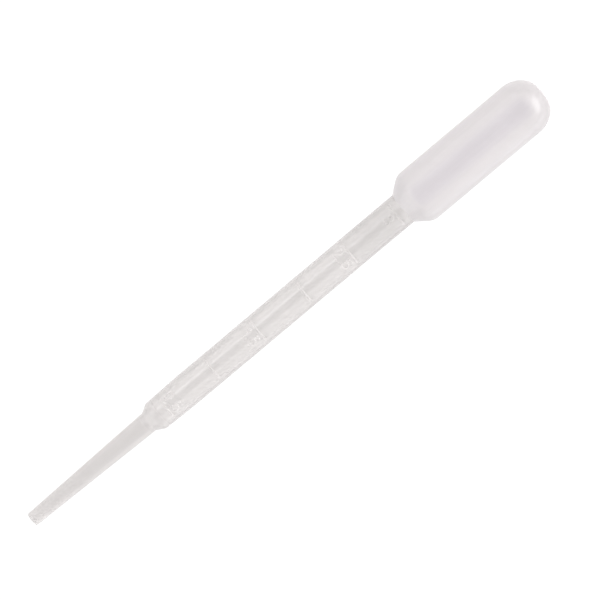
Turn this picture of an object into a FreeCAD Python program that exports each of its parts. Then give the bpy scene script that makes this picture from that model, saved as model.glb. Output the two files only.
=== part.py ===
"""Graduated transfer pipette (a one-piece medicine dropper), blow-moulded in soft polyethylene.

The real object is a single hollow moulding. It is modelled here zone by zone: a tapered dispensing tip,
a step shoulder, a graduated stem, a bulb shoulder, four wall panels round the squeeze bulb and a dome,
with the raised graduation marks and the mould seam as nodes of their own.

Frame: millimetres. The axis of the pipette is Z, with the bulb up and the tip down, as it is used.
The origin is the centre of the open end of the tip. The graduated front faces -Y. The mould closed along Y,
so its seam runs up the two sides, at -X and +X. The bulb is squeezed along Y, front wall against back wall.
"""
import FreeCAD, Part
import math
import os
import Sketcher
from FreeCAD import Vector

# How a sketch's constraints name its own axes and the points of an edge.
HORIZONTAL_AXIS = -1
VERTICAL_AXIS = -2
START = 1
END = 2
CENTRE = 3
ORIGIN = (HORIZONTAL_AXIS, START)

doc = FreeCAD.newDocument("transfer_pipette")


# ---------------------------------------------------------------- driving dimensions

SIZES = {
    "overall_length": 155.0,
    # dispensing tip: a plain taper, open at both ends
    "tip_end_diameter": 3.3,
    "tip_end_bore": 2.5,
    "tip_top_diameter": 4.95,
    "tip_top_bore": 4.2,
    "tip_length": 34.9,
    "tip_lip_round": 0.2,
    # step shoulder between the tip and the stem
    "cone_start": 35.85,
    "cone_end": 37.95,
    "shoulder_end": 39.4,
    "step_round": 1.8,
    "step_foot_round": 0.6,
    # stem: slightly waisted at its foot, then a true cylinder up to the bulb
    "stem_foot_diameter": 7.4,
    "stem_foot_bore": 6.5,
    "stem_diameter": 7.75,
    "stem_bore": 6.76,
    "stem_true_from": 46.5,
    "bulb_start": 113.0,
    # bulb
    "bulb_diameter": 13.4,
    "bulb_wall": 0.42,
    "bulb_cone_angle": 38.0,
    "bulb_round": 4.2,
    "inner_cone_lift": 0.1,
    "inner_cone_top_lift": 0.25,
    "panel_low": 119.5,
    "panel_high": 147.0,
    "panel_half_width": 4.3,
    "panel_gap": 0.06,
    # graduation marks
    "mark_relief": 0.17,
    "line_width": 0.4,
    "line_half_angle": 58.0,
    "first_line": 41.5,
    "line_spacing": 13.92,
    "line_count": 6,
    "numeral_height": 2.8,
    "numeral_stroke": 0.38,
    "numeral_clearance": 0.55,
    # traces of the mould
    "seam_width": 0.22,
    "seam_relief": 0.06,
}

sheet = doc.addObject("Spreadsheet::Sheet", "sizes")
for row, (alias, value) in enumerate(SIZES.items(), start=1):
    sheet.set(f"A{row}", alias)
    sheet.set(f"B{row}", str(value))
    sheet.setAlias(f"B{row}", alias)
doc.recompute()


def size(alias):
    """The number that one cell of the sheet holds."""
    return float(sheet.get(alias))


# ---------------------------------------------------------------- sketches and bodies

def new_body(name):
    body = doc.addObject("PartDesign::Body", name)
    body.Label = name
    return body


def origin_feature(body, role):
    """One of the body's own origin planes or axes, such as XZ_Plane."""
    return next(feature for feature in body.Origin.OriginFeatures if feature.Role == role)


def new_sketch(body, name, plane="XZ_Plane", lift=None):
    """A sketch on one of the body's origin planes, moved off it by the expression in lift."""
    sketch = body.newObject("Sketcher::SketchObject", name)
    sketch.AttachmentSupport = [(origin_feature(body, plane), "")]
    sketch.MapMode = "FlatFace"
    if lift:
        sketch.setExpression("AttachmentOffset.Base.z", lift)
    doc.recompute()
    return sketch


def value_of(sketch, expression):
    return float(sketch.evalExpression(expression))


def bind_distance(sketch, kind, edge, point, expression):
    """Holds a point at an expression's distance from the sketch's origin; kind is DistanceX or DistanceY."""
    value = value_of(sketch, expression)
    if value == 0:
        axis = VERTICAL_AXIS if kind == "DistanceX" else HORIZONTAL_AXIS
        sketch.addConstraint(Sketcher.Constraint("PointOnObject", edge, point, axis))
        return
    index = sketch.addConstraint(Sketcher.Constraint(kind, *ORIGIN, edge, point, value))
    sketch.setExpression(f"Constraints[{index}]", expression)


def bind_point(sketch, edge, point, across, up):
    bind_distance(sketch, "DistanceX", edge, point, across)
    bind_distance(sketch, "DistanceY", edge, point, up)


def bind_radius(sketch, arc, expression):
    index = sketch.addConstraint(Sketcher.Constraint("Radius", arc, value_of(sketch, expression)))
    sketch.setExpression(f"Constraints[{index}]", expression)


def add_line(sketch, first, second):
    """A straight edge that joins the ends of two others; each end is (edge, point)."""
    places = [sketch.getPoint(*end) for end in (first, second)]
    line = sketch.addGeometry(Part.LineSegment(*places), False)
    sketch.addConstraint(Sketcher.Constraint("Coincident", *first, line, START))
    sketch.addConstraint(Sketcher.Constraint("Coincident", line, END, *second))
    return line


def add_outline(sketch, corners):
    """A closed outline of straight edges through corners, each a pair of expressions."""
    places = [Vector(value_of(sketch, across), value_of(sketch, up), 0) for across, up in corners]
    edges = []
    for index, place in enumerate(places):
        following = places[(index + 1) % len(places)]
        edges.append(sketch.addGeometry(Part.LineSegment(place, following), False))
    for index, edge in enumerate(edges):
        following = edges[(index + 1) % len(edges)]
        sketch.addConstraint(Sketcher.Constraint("Coincident", edge, END, following, START))
    for edge, (across, up) in zip(edges, corners):
        bind_point(sketch, edge, START, across, up)


def revolve(body, sketch, name, angle=360.0):
    """Turns a sketch about its own vertical axis, half of the angle to each side of its plane."""
    turned = body.newObject("PartDesign::Revolution", name)
    turned.Profile = sketch
    turned.ReferenceAxis = (sketch, ["V_Axis"])
    turned.Angle = angle
    turned.Midplane = angle < 360.0
    doc.recompute()
    return turned


def ring_edges(feature, radius, height, tolerance=1e-4):
    """Names of the feature's circular edges of one radius at one height."""
    names = []
    for number, edge in enumerate(feature.Shape.Edges, start=1):
        circle = edge.Curve
        if not isinstance(circle, Part.Circle):
            continue
        if abs(circle.Radius - radius) < tolerance and abs(circle.Center.z - height) < tolerance:
            names.append(f"Edge{number}")
    if not names:
        raise RuntimeError(f"{feature.Label} has no ring of radius {radius} at {height}")
    return names


def round_rings(body, name, rings, radius_alias):
    """Fillets the circular edges at (radius, height) places of the body's last feature."""
    base = body.Tip
    fillet = body.newObject("PartDesign::Fillet", name)
    fillet.Base = (base, [edge for ring in rings for edge in ring_edges(base, *ring)])
    fillet.setExpression("Radius", f"sizes.{radius_alias}")
    doc.recompute()
    return fillet


def revolved_shell(name, outline):
    """A hollow zone of the moulding: an outline of (radius, height) expressions turned about the axis."""
    body = new_body(name)
    sketch = new_sketch(body, f"{name}_profile")
    add_outline(sketch, outline)
    revolve(body, sketch, f"{name}_turn")
    return body


# ---------------------------------------------------------------- zones that are turned about the axis

def make_tip():
    body = revolved_shell("dispensing_tip", [
        ("sizes.tip_end_diameter / 2", "0"),
        ("sizes.tip_top_diameter / 2", "sizes.tip_length"),
        ("sizes.tip_top_bore / 2", "sizes.tip_length"),
        ("sizes.tip_end_bore / 2", "0"),
    ])
    round_rings(body, "tip_lip", [(size("tip_end_diameter") / 2, 0)], "tip_lip_round")
    return body


def make_step_shoulder():
    body = revolved_shell("step_shoulder", [
        ("sizes.tip_top_diameter / 2", "sizes.tip_length"),
        ("sizes.tip_top_diameter / 2", "sizes.cone_start"),
        ("sizes.stem_foot_diameter / 2", "sizes.cone_end"),
        ("sizes.stem_foot_diameter / 2", "sizes.shoulder_end"),
        ("sizes.stem_foot_bore / 2", "sizes.shoulder_end"),
        ("sizes.stem_foot_bore / 2", "sizes.cone_end"),
        ("sizes.tip_top_bore / 2", "sizes.cone_start"),
        ("sizes.tip_top_bore / 2", "sizes.tip_length"),
    ])
    outer_top = (size("stem_foot_diameter") / 2, size("cone_end"))
    inner_top = (size("stem_foot_bore") / 2, size("cone_end"))
    round_rings(body, "step_top", [outer_top, inner_top], "step_round")
    outer_foot = (size("tip_top_diameter") / 2, size("cone_start"))
    inner_foot = (size("tip_top_bore") / 2, size("cone_start"))
    round_rings(body, "step_foot", [outer_foot, inner_foot], "step_foot_round")
    return body


def make_stem():
    return revolved_shell("stem_tube", [
        ("sizes.stem_foot_diameter / 2", "sizes.shoulder_end"),
        ("sizes.stem_diameter / 2", "sizes.stem_true_from"),
        ("sizes.stem_diameter / 2", "sizes.bulb_start"),
        ("sizes.stem_bore / 2", "sizes.bulb_start"),
        ("sizes.stem_bore / 2", "sizes.stem_true_from"),
        ("sizes.stem_foot_bore / 2", "sizes.shoulder_end"),
    ])


def bulb_cone_top():
    """Height where the bulb's conical base would meet its cylinder, before the edge is rounded."""
    rise = (size("bulb_diameter") - size("stem_diameter")) / 2
    return size("bulb_start") + rise / math.tan(math.radians(size("bulb_cone_angle")))


def make_bulb_shoulder():
    cone_top = ("sizes.bulb_start"
                " + (sizes.bulb_diameter - sizes.stem_diameter) / 2 / tan(sizes.bulb_cone_angle * 1 deg)")
    bulb_bore = "sizes.bulb_diameter / 2 - sizes.bulb_wall"
    body = revolved_shell("bulb_shoulder", [
        ("sizes.stem_diameter / 2", "sizes.bulb_start"),
        ("sizes.bulb_diameter / 2", cone_top),
        ("sizes.bulb_diameter / 2", "sizes.panel_low"),
        (bulb_bore, "sizes.panel_low"),
        (bulb_bore, f"{cone_top} + sizes.inner_cone_top_lift"),
        ("sizes.stem_bore / 2", "sizes.bulb_start + sizes.inner_cone_lift"),
        ("sizes.stem_bore / 2", "sizes.bulb_start"),
    ])
    outer = (size("bulb_diameter") / 2, bulb_cone_top())
    inner = (size("bulb_diameter") / 2 - size("bulb_wall"), bulb_cone_top() + size("inner_cone_top_lift"))
    round_rings(body, "bulb_shoulder_round", [outer, inner], "bulb_round")
    return body


def add_quarter_arc(sketch, radius, centre_height):
    """A quarter circle from the side of the dome up to the axis, bound to two expressions."""
    centre = Vector(0, value_of(sketch, centre_height), 0)
    circle = Part.Circle(centre, Vector(0, 0, 1), value_of(sketch, radius))
    arc = sketch.addGeometry(Part.ArcOfCircle(circle, 0, math.pi / 2), False)
    bind_radius(sketch, arc, radius)
    bind_point(sketch, arc, CENTRE, "0", centre_height)
    sketch.addConstraint(Sketcher.Constraint("Horizontal", arc, START, arc, CENTRE))
    sketch.addConstraint(Sketcher.Constraint("PointOnObject", arc, END, VERTICAL_AXIS))
    return arc


def make_dome():
    """A hemisphere on a short length of bulb wall."""
    body = new_body("bulb_dome")
    sketch = new_sketch(body, "bulb_dome_profile")
    bulb_radius = "sizes.bulb_diameter / 2"
    bulb_bore = "sizes.bulb_diameter / 2 - sizes.bulb_wall"
    dome_centre = "sizes.overall_length - sizes.bulb_diameter / 2"
    outer_arc = add_quarter_arc(sketch, bulb_radius, dome_centre)
    inner_arc = add_quarter_arc(sketch, bulb_bore, dome_centre)
    add_line(sketch, (outer_arc, END), (inner_arc, END))
    foot = [Vector(value_of(sketch, radius), size("panel_high"), 0) for radius in (bulb_bore, bulb_radius)]
    rim = sketch.addGeometry(Part.LineSegment(*foot), False)
    bind_point(sketch, rim, START, bulb_bore, "sizes.panel_high")
    bind_point(sketch, rim, END, bulb_radius, "sizes.panel_high")
    add_line(sketch, (inner_arc, START), (rim, START))
    add_line(sketch, (rim, END), (outer_arc, START))
    revolve(body, sketch, "bulb_dome_turn")
    return body


# ---------------------------------------------------------------- wall panels round the bulb

def add_wall_arc(sketch, radius, towards, half_angle):
    """An arc of the bulb wall, centred on the axis and on the direction towards; both angles in radians."""
    circle = Part.Circle(Vector(0, 0, 0), Vector(0, 0, 1), value_of(sketch, radius))
    arc = sketch.addGeometry(Part.ArcOfCircle(circle, towards - half_angle, towards + half_angle), False)
    sketch.addConstraint(Sketcher.Constraint("Coincident", arc, CENTRE, *ORIGIN))
    bind_radius(sketch, arc, radius)
    return arc


def make_panel(name, towards, cut, end_gap):
    """One wall of the bulb, between two planes of constant X, so that it can slide along Y.

    towards is the direction it faces, cut holds the X of its two edges in turn (anticlockwise),
    and end_gap is the clearance left at its top and its bottom.
    """
    body = new_body(name)
    sketch = new_sketch(body, f"{name}_section", "XY_Plane", f"sizes.panel_low + {end_gap}")
    arcs = []
    for radius in ("sizes.bulb_diameter / 2", "sizes.bulb_diameter / 2 - sizes.bulb_wall"):
        edge_angle = math.asin(size("panel_half_width") / value_of(sketch, radius))
        faces_squeeze = abs(math.sin(towards)) > 0.5
        half_angle = edge_angle if faces_squeeze else math.pi / 2 - edge_angle
        arc = add_wall_arc(sketch, radius, towards, half_angle)
        for point, expression in zip((START, END), cut):
            bind_distance(sketch, "DistanceX", arc, point, expression)
        arcs.append(arc)
    for point in (START, END):
        add_line(sketch, *[(arc, point) for arc in arcs])
    pad = body.newObject("PartDesign::Pad", f"{name}_pad")
    pad.Profile = sketch
    pad.setExpression("Length", f"sizes.panel_high - sizes.panel_low - 2 * {end_gap}")
    doc.recompute()
    return body


def make_panels():
    """Front and back walls that slide, and the two fixed side walls that carry the seam."""
    moving = "(sizes.panel_half_width - sizes.panel_gap / 2)"
    fixed = "(sizes.panel_half_width + sizes.panel_gap / 2)"
    return [
        make_panel("bulb_front_wall", -math.pi / 2, (f"-{moving}", moving), "sizes.panel_gap"),
        make_panel("bulb_back_wall", math.pi / 2, (moving, f"-{moving}"), "sizes.panel_gap"),
        make_panel("bulb_right_wall", 0.0, (fixed, fixed), "0"),
        make_panel("bulb_left_wall", math.pi, (f"-{fixed}", f"-{fixed}"), "0"),
    ]


# ---------------------------------------------------------------- graduation marks

def foot_radius(height):
    """Expression for the radius of the stem's waisted foot at a height given as an expression."""
    share = f"({height} - sizes.shoulder_end) / (sizes.stem_true_from - sizes.shoulder_end)"
    return f"(sizes.stem_foot_diameter + (sizes.stem_diameter - sizes.stem_foot_diameter) * {share}) / 2"


def add_raised_line(body, name, low, radius_at):
    """One raised line's section on the front and the back of the stem, its foot on the stem's surface."""
    sketch = new_sketch(body, name, "YZ_Plane")
    high = f"({low} + sizes.line_width)"
    for side in ("-", ""):
        add_outline(sketch, [
            (f"{side}({radius_at(low)})", low),
            (f"{side}({radius_at(low)} + sizes.mark_relief)", low),
            (f"{side}({radius_at(high)} + sizes.mark_relief)", high),
            (f"{side}({radius_at(high)})", high),
        ])
    return revolve(body, sketch, f"{name}_turn", 2 * size("line_half_angle"))


def make_graduation_lines():
    """Six raised lines half a millilitre apart, each on the front half and on the back half of the stem."""
    body = new_body("graduation_lines")
    body.AllowCompound = True
    add_raised_line(body, "lowest_line", "(sizes.first_line - sizes.line_width / 2)", foot_radius)
    second = add_raised_line(body, "second_line",
                             "(sizes.first_line + sizes.line_spacing - sizes.line_width / 2)",
                             lambda height: "sizes.stem_diameter / 2")
    upper = body.newObject("PartDesign::LinearPattern", "upper_lines")
    upper.Originals = [second]
    upper.Direction = (origin_feature(body, "Z_Axis"), [""])
    upper.setExpression("Length", "sizes.line_spacing * (sizes.line_count - 2)")
    upper.Occurrences = int(size("line_count")) - 1
    body.Tip = upper
    doc.recompute()
    return body


# Numerals are drawn in a cell 1 high. A step is how far the pen moves on to the next numeral.
WIDE_STEP = 0.74
NUMERAL_STEP = {"1": 0.62, ".": 0.26}
NUMERAL_GAP = 0.24
POINT_RADIUS = 0.6   # of the pen's stroke


def arc_through(*places):
    return Part.Arc(*[Vector(across, 0, up) for across, up in places]).toShape()


def path_through(*places):
    return [Part.makeLine(Vector(a[0], 0, a[1]), Vector(b[0], 0, b[1])) for a, b in zip(places, places[1:])]


def point_on(centre, radius, degrees):
    """A place on a circle, in the plane of a numeral."""
    angle = math.radians(degrees)
    return (centre[0] + radius * math.cos(angle), centre[1] + radius * math.sin(angle))


def numeral_strokes(numeral):
    """Pen strokes of one numeral, each a list of edges, in a cell 1 high with its foot at 0."""
    if numeral == "0":
        left, middle, right, corner = 0.0, 0.24, 0.48, 0.07
        low, high = middle, 1 - middle
        halves = []
        for side, turn in ((left, left + corner), (right, right - corner)):
            halves.append([arc_through((middle, 1), (turn, 1 - corner), (side, high))]
                          + path_through((side, high), (side, low))
                          + [arc_through((side, low), (turn, corner), (middle, 0))])
        return halves
    if numeral == "1":
        return [path_through((0.1, 0.76), (0.34, 1), (0.34, 0))]
    if numeral == "2":
        bowl = ((0.24, 0.75), 0.25)
        over = arc_through(point_on(*bowl, 175), point_on(*bowl, 85), point_on(*bowl, -30))
        return [[over] + path_through(point_on(*bowl, -30), (0, 0), (0.5, 0))]
    if numeral == "3":
        upper, lower = ((0.23, 0.76), 0.24), ((0.23, 0.26), 0.26)
        return [[arc_through(point_on(*upper, 150), point_on(*upper, 30), point_on(*upper, -90))],
                [arc_through(point_on(*lower, 90), point_on(*lower, 0), point_on(*lower, -150))]]
    bowl = ((0.21, 0.31), 0.31)
    under = arc_through(point_on(*bowl, 122), point_on(*bowl, 0), point_on(*bowl, -145))
    return [path_through((0.46, 1), (0.08, 1), point_on(*bowl, 122)) + [under]]


def numeral_faces(text, height, stroke):
    """Flat faces of a row of numerals centred on the axis, standing on height 0, in the plane of X and Z."""
    steps = [NUMERAL_STEP.get(letter, WIDE_STEP) * height for letter in text]
    cursor = -(sum(steps) - NUMERAL_GAP * height) / 2
    faces = []
    for letter, step in zip(text, steps):
        if letter == ".":
            centre = Vector(cursor, 0, stroke / 2)
            dot = Part.makeCircle(POINT_RADIUS * stroke, centre, Vector(0, -1, 0))
            faces.append(Part.Face(Part.Wire(dot)))
        else:
            for edges in numeral_strokes(letter):
                pen_path = Part.Wire(edges)
                pen_path.scale(height - stroke, Vector(0, 0, 0))
                pen_path.translate(Vector(cursor, 0, stroke / 2))
                faces.append(pen_path.makeOffset2D(stroke / 2, 0, True, False, False))
        cursor += step
    return faces


def stem_skin():
    """A thin skin on the outside of the stem, as thick as a mark stands proud."""
    relief = size("mark_relief")
    foot = (size("stem_foot_diameter") / 2, size("shoulder_end"))
    waist = (size("stem_diameter") / 2, size("stem_true_from"))
    top = (size("stem_diameter") / 2, size("bulb_start"))
    outline = [foot, waist, top] + [(radius + relief, level) for radius, level in (top, waist, foot)]
    corners = [Vector(radius, 0, level) for radius, level in outline]
    face = Part.Face(Part.makePolygon(corners + corners[:1]))
    return face.revolve(Vector(0, 0, 0), Vector(0, 0, 1), 360)


def raised_numerals(text, level, on_back):
    """The solids of one number on the stem, its foot at a height, read with the bulb up."""
    depth = size("bulb_diameter")
    prisms = []
    for face in numeral_faces(text, size("numeral_height"), size("numeral_stroke")):
        prism = face.extrude(Vector(0, -depth, 0))
        prism.translate(Vector(0, 0, level))
        prisms.append(prism)
    number = prisms[0].multiFuse(prisms[1:]) if len(prisms) > 1 else prisms[0]
    if on_back:
        number.rotate(Vector(0, 0, 0), Vector(0, 0, 1), 180)
    return number.common(stem_skin()).Solids


def make_graduation_numerals():
    """Raised volumes in millilitres: half marks and the full mark on the front, whole marks on the back."""
    below = -size("line_width") / 2 - size("numeral_clearance") - size("numeral_height")
    above = size("line_width") / 2 + size("numeral_clearance")
    numbers = [("0.5", 1, above, False), ("1.5", 3, below, False), ("2.5", 5, below, False),
               ("3", 6, below, False), ("1", 2, below, True), ("2", 4, below, True), ("3", 6, below, True)]
    solids = []
    for text, line_number, offset, on_back in numbers:
        line = size("first_line") + (line_number - 1) * size("line_spacing")
        solids += raised_numerals(text, line + offset, on_back)
    marks = doc.addObject("Part::Feature", "graduation_numerals")
    marks.Shape = Part.makeCompound(solids)
    marks.Placement = FreeCAD.Placement()
    return marks


# ---------------------------------------------------------------- traces of the mould

def rounded_path(corners):
    """Edges of an open path in the plane of X and Z; each corner is (x, z, radius of its rounding)."""
    places = [Vector(across, 0, up) for across, up, _ in corners]
    edges = []
    pen = places[0]
    for before, place, after, (_, _, radius) in zip(places, places[1:], places[2:], corners[1:]):
        arriving = (place - before).normalize()
        leaving = (after - place).normalize()
        half_turn = arriving.getAngle(leaving) / 2
        if radius == 0 or half_turn < 1e-6:
            edges.append(Part.makeLine(pen, place))
            pen = place
            continue
        reach = radius * math.tan(half_turn)
        arc_start, arc_end = place - arriving * reach, place + leaving * reach
        inward = (leaving - arriving).normalize()
        arc_middle = place + inward * (radius / math.cos(half_turn) - radius)
        edges.append(Part.makeLine(pen, arc_start))
        edges.append(Part.Arc(arc_start, arc_middle, arc_end).toShape())
        pen = arc_end
    edges.append(Part.makeLine(pen, places[-1]))
    return edges


def outside_path():
    """The moulding's outside from the lip of the tip up to the dome, on the side at +X."""
    tip_end, tip_top = size("tip_end_diameter") / 2, size("tip_top_diameter") / 2
    foot, stem, bulb = (size(f"{name}_diameter") / 2 for name in ("stem_foot", "stem", "bulb"))
    lip = size("tip_lip_round")
    taper = (tip_top - tip_end) / size("tip_length")
    return rounded_path([
        (tip_end + taper * lip, lip, 0),
        (tip_top, size("tip_length"), 0),
        (tip_top, size("cone_start"), size("step_foot_round")),
        (foot, size("cone_end"), size("step_round")),
        (foot, size("shoulder_end"), 0),
        (stem, size("stem_true_from"), 0),
        (stem, size("bulb_start"), 0),
        (bulb, bulb_cone_top(), size("bulb_round")),
        (bulb, size("overall_length") - bulb, 0),
    ])


def make_mould_seam():
    """The thin rib that the closed mould leaves up both sides of the moulding and over its dome."""
    bulb = size("bulb_diameter") / 2
    dome_centre = size("overall_length") - bulb
    right_side = outside_path()
    left_side = [edge.mirror(Vector(0, 0, 0), Vector(1, 0, 0)) for edge in right_side]
    dome_places = [(bulb, dome_centre), (0, dome_centre + bulb), (-bulb, dome_centre)]
    silhouette = right_side + [arc_through(*dome_places)] + left_side
    ribs = Part.Wire(Part.__sortEdges__(silhouette)).makeOffset2D(size("seam_relief"), 0, True, False, False)
    lip_right = right_side[0].valueAt(right_side[0].FirstParameter)
    lip_left = Vector(-lip_right.x, 0, lip_right.z)
    inside = Part.Face(Part.Wire(Part.__sortEdges__(silhouette + [Part.makeLine(lip_left, lip_right)])))
    proud = max(ribs.cut(inside).Faces, key=lambda face: face.Area)
    rib = proud.extrude(Vector(0, size("seam_width"), 0))
    rib.translate(Vector(0, -size("seam_width") / 2, 0))
    seam = doc.addObject("Part::Feature", "mould_seam")
    seam.Shape = Part.makeCompound(rib.Solids)
    seam.Placement = FreeCAD.Placement()
    return seam


# ---------------------------------------------------------------- build, check and write

def check_objects(parts):
    for item in doc.Objects:
        if "Invalid" in item.State or "Error" in item.State:
            raise RuntimeError(f"{item.Label} failed to recompute: {item.State}")
    for part in parts:
        if part.Shape.isNull() or not part.Shape.isValid() or not part.Shape.Solids:
            raise RuntimeError(f"{part.Label} has no valid solid")


parts = [make_tip(), make_step_shoulder(), make_stem(), make_bulb_shoulder(), make_dome()]
parts += make_panels()
parts += [make_graduation_lines(), make_graduation_numerals(), make_mould_seam()]
doc.recompute()
check_objects(parts)

os.makedirs("parts", exist_ok=True)
for part in parts:
    part.Shape.exportStep(os.path.join("parts", f"{part.Label}.step"))
    print(part.Label, len(part.Shape.Solids), "solids,", round(part.Shape.Volume, 2), "mm3")
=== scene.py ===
"""Looks of the graduated transfer pipette: a hollow, translucent, blow-moulded polyethylene dropper.

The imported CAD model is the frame. It gives every outside size and every place along the axis. The plain CAD
zones are replaced by thin double-walled shells that carry the raised marks, the mould seam and the slight
unevenness of a blown wall. All lengths are in metres; the axis of the pipette is Z and its front faces -Y.
"""
import math

import bmesh
import bpy
import numpy as np
from mathutils import Matrix, Vector, noise


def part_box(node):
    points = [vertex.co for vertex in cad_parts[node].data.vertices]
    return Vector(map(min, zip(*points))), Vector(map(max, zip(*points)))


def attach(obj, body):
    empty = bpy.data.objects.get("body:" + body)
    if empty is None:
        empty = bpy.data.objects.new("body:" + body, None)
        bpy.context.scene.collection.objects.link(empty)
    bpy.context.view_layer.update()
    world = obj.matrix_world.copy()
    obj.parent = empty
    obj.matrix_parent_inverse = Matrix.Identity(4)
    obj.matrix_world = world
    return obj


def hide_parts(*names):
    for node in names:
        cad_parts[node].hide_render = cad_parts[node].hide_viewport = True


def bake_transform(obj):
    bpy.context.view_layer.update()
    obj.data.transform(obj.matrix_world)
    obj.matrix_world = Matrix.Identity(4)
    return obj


MM = 0.001

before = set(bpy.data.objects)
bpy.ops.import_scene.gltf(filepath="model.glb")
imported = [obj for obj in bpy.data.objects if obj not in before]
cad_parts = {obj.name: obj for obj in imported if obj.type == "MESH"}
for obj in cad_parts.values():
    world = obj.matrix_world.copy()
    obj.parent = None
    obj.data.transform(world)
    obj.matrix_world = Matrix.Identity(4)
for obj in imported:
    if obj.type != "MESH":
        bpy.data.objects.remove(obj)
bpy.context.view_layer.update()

# ---------------------------------------------------------------- sizes, from the frame

TIP_LOW, TIP_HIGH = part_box("dispensing_tip")
STEP_LOW, STEP_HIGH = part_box("step_shoulder")
STEM_LOW, STEM_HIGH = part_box("stem_tube")
SHOULDER_LOW, SHOULDER_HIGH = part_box("bulb_shoulder")
DOME_LOW, DOME_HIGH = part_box("bulb_dome")
LINES_LOW, LINES_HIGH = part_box("graduation_lines")
SEAM_LOW, SEAM_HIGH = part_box("mould_seam")

TIP_TOP_RADIUS = TIP_HIGH.x
FOOT_RADIUS = STEP_HIGH.x
STEM_RADIUS = STEM_HIGH.x
BULB_RADIUS = DOME_HIGH.x
TOP = DOME_HIGH.z
DOME_CENTRE = TOP - BULB_RADIUS

# Sizes that a box can't give: they repeat the design's own values.
TIP_END_RADIUS = 1.65 * MM
TIP_END_BORE_RADIUS = 1.25 * MM
TIP_TOP_BORE_RADIUS = 2.1 * MM
LIP_ROUND = 0.2 * MM
CONE_START = 35.85 * MM
CONE_END = 37.95 * MM
FOOT_BORE_RADIUS = 3.25 * MM
STEP_ROUND = 1.8 * MM
STEP_FOOT_ROUND = 0.6 * MM
STEM_TRUE_FROM = 46.5 * MM
STEM_BORE_RADIUS = 3.38 * MM
BULB_WALL = 0.42 * MM
BULB_CONE_ANGLE = math.radians(38)
BULB_ROUND = 4.2 * MM
MARK_RELIEF = LINES_HIGH.y - STEM_RADIUS
LINE_WIDTH = 0.4 * MM
LINE_COUNT = 6
LINE_HALF_ANGLE = math.radians(58)
LINE_SPACING = (LINES_HIGH.z - LINES_LOW.z - LINE_WIDTH) / (LINE_COUNT - 1)
FIRST_LINE = LINES_LOW.z + LINE_WIDTH / 2
NUMERAL_HEIGHT = 2.8 * MM
NUMERAL_STROKE = 0.38 * MM
NUMERAL_CLEARANCE = 0.55 * MM
SEAM_WIDTH = SEAM_HIGH.y - SEAM_LOW.y
SEAM_RELIEF = SEAM_HIGH.x - BULB_RADIUS

# Sizes of the looks only.
SOFT_EDGE = 0.22 * MM               # over which a moulded mark rises from the wall
RUN_OUT = 2.2 * MM                  # over which the ends of a raised line fade into the wall
BORE_EDGE = (0.1 * MM, 0.06 * MM)   # by which the edge of the tip's bore is broken, outwards and upwards
PLAIN_ROW = 1.2 * MM                # between the rows of points of a plain wall
TIP_COLUMNS = 72                    # of points round the tip and the step, besides those at the seam
BULB_COLUMNS = 60                   # of points round each half of the bulb, besides those at the seam
OUTER_WAVE = (9 * MM, 0.03 * MM)    # length and depth of the slow waves on the outside of the wall
INNER_WAVE = (6 * MM, 0.06 * MM)    # the same on the inside

# ---------------------------------------------------------------- profiles


def spread(first, last, steps):
    """Evenly spaced (radius, height) places from first to last, both included."""
    return [(first[0] + (last[0] - first[0]) * k / steps, first[1] + (last[1] - first[1]) * k / steps)
            for k in range(steps + 1)]


def straight(first, last, step):
    """Evenly spaced places from first to last that are no further apart than a step."""
    return spread(first, last, max(1, math.ceil(math.dist(first, last) / step)))


def rounded_corner(before, corner, after, radius, steps=10):
    """Places on the arc of a radius that touches both edges of a corner."""
    arriving, place, leaving = (Vector(p) for p in (before, corner, after))
    into = (place - arriving).normalized()
    out_of = (leaving - place).normalized()
    half_turn = into.angle(out_of) / 2
    reach = radius * math.tan(half_turn)
    side = 1 if into.x * out_of.y - into.y * out_of.x > 0 else -1
    start = place - into * reach
    centre = start + Vector((-into.y, into.x)) * side * radius
    arm = start - centre
    places = []
    for k in range(steps + 1):
        turn = side * 2 * half_turn * k / steps
        places.append((centre.x + arm.x * math.cos(turn) - arm.y * math.sin(turn),
                       centre.y + arm.x * math.sin(turn) + arm.y * math.cos(turn)))
    return places


def joined(*runs):
    """Runs of places one after the other, without the places that repeat."""
    same_place = 1e-7
    places = []
    for run in runs:
        for place in run:
            if not places or math.dist(places[-1], place) > same_place:
                places.append(tuple(place))
    return places


def tip_profiles():
    """Outside and inside of the tip, from its rounded lip up to the step."""
    edge_out, edge_up = BORE_EDGE
    outer_end = (TIP_END_RADIUS, 0.0)
    outer_top = (TIP_TOP_RADIUS, TIP_HIGH.z)
    lip = rounded_corner((TIP_END_BORE_RADIUS, 0), outer_end, outer_top, LIP_ROUND, steps=6)
    outer = joined([(TIP_END_BORE_RADIUS + edge_out, 0)], lip, straight(lip[-1], outer_top, PLAIN_ROW))
    inner = straight((TIP_END_BORE_RADIUS, edge_up), (TIP_TOP_BORE_RADIUS, TIP_HIGH.z), PLAIN_ROW)
    return outer, inner


def step_profile(tip_radius, foot_radius):
    """The step from the tip's radius out to the stem's, with a hollow corner and then a round one."""
    cone_row, foot_row = 0.25 * MM, 0.4 * MM
    start = (tip_radius, STEP_LOW.z)
    foot = (tip_radius, CONE_START)
    top = (foot_radius, CONE_END)
    end = (foot_radius, STEP_HIGH.z)
    hollow = rounded_corner(start, foot, top, STEP_FOOT_ROUND, steps=6)
    rounded = rounded_corner(foot, top, end, STEP_ROUND, steps=10)
    return joined([start], hollow, straight(hollow[-1], rounded[0], cone_row), rounded,
                  straight(rounded[-1], end, foot_row))


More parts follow.
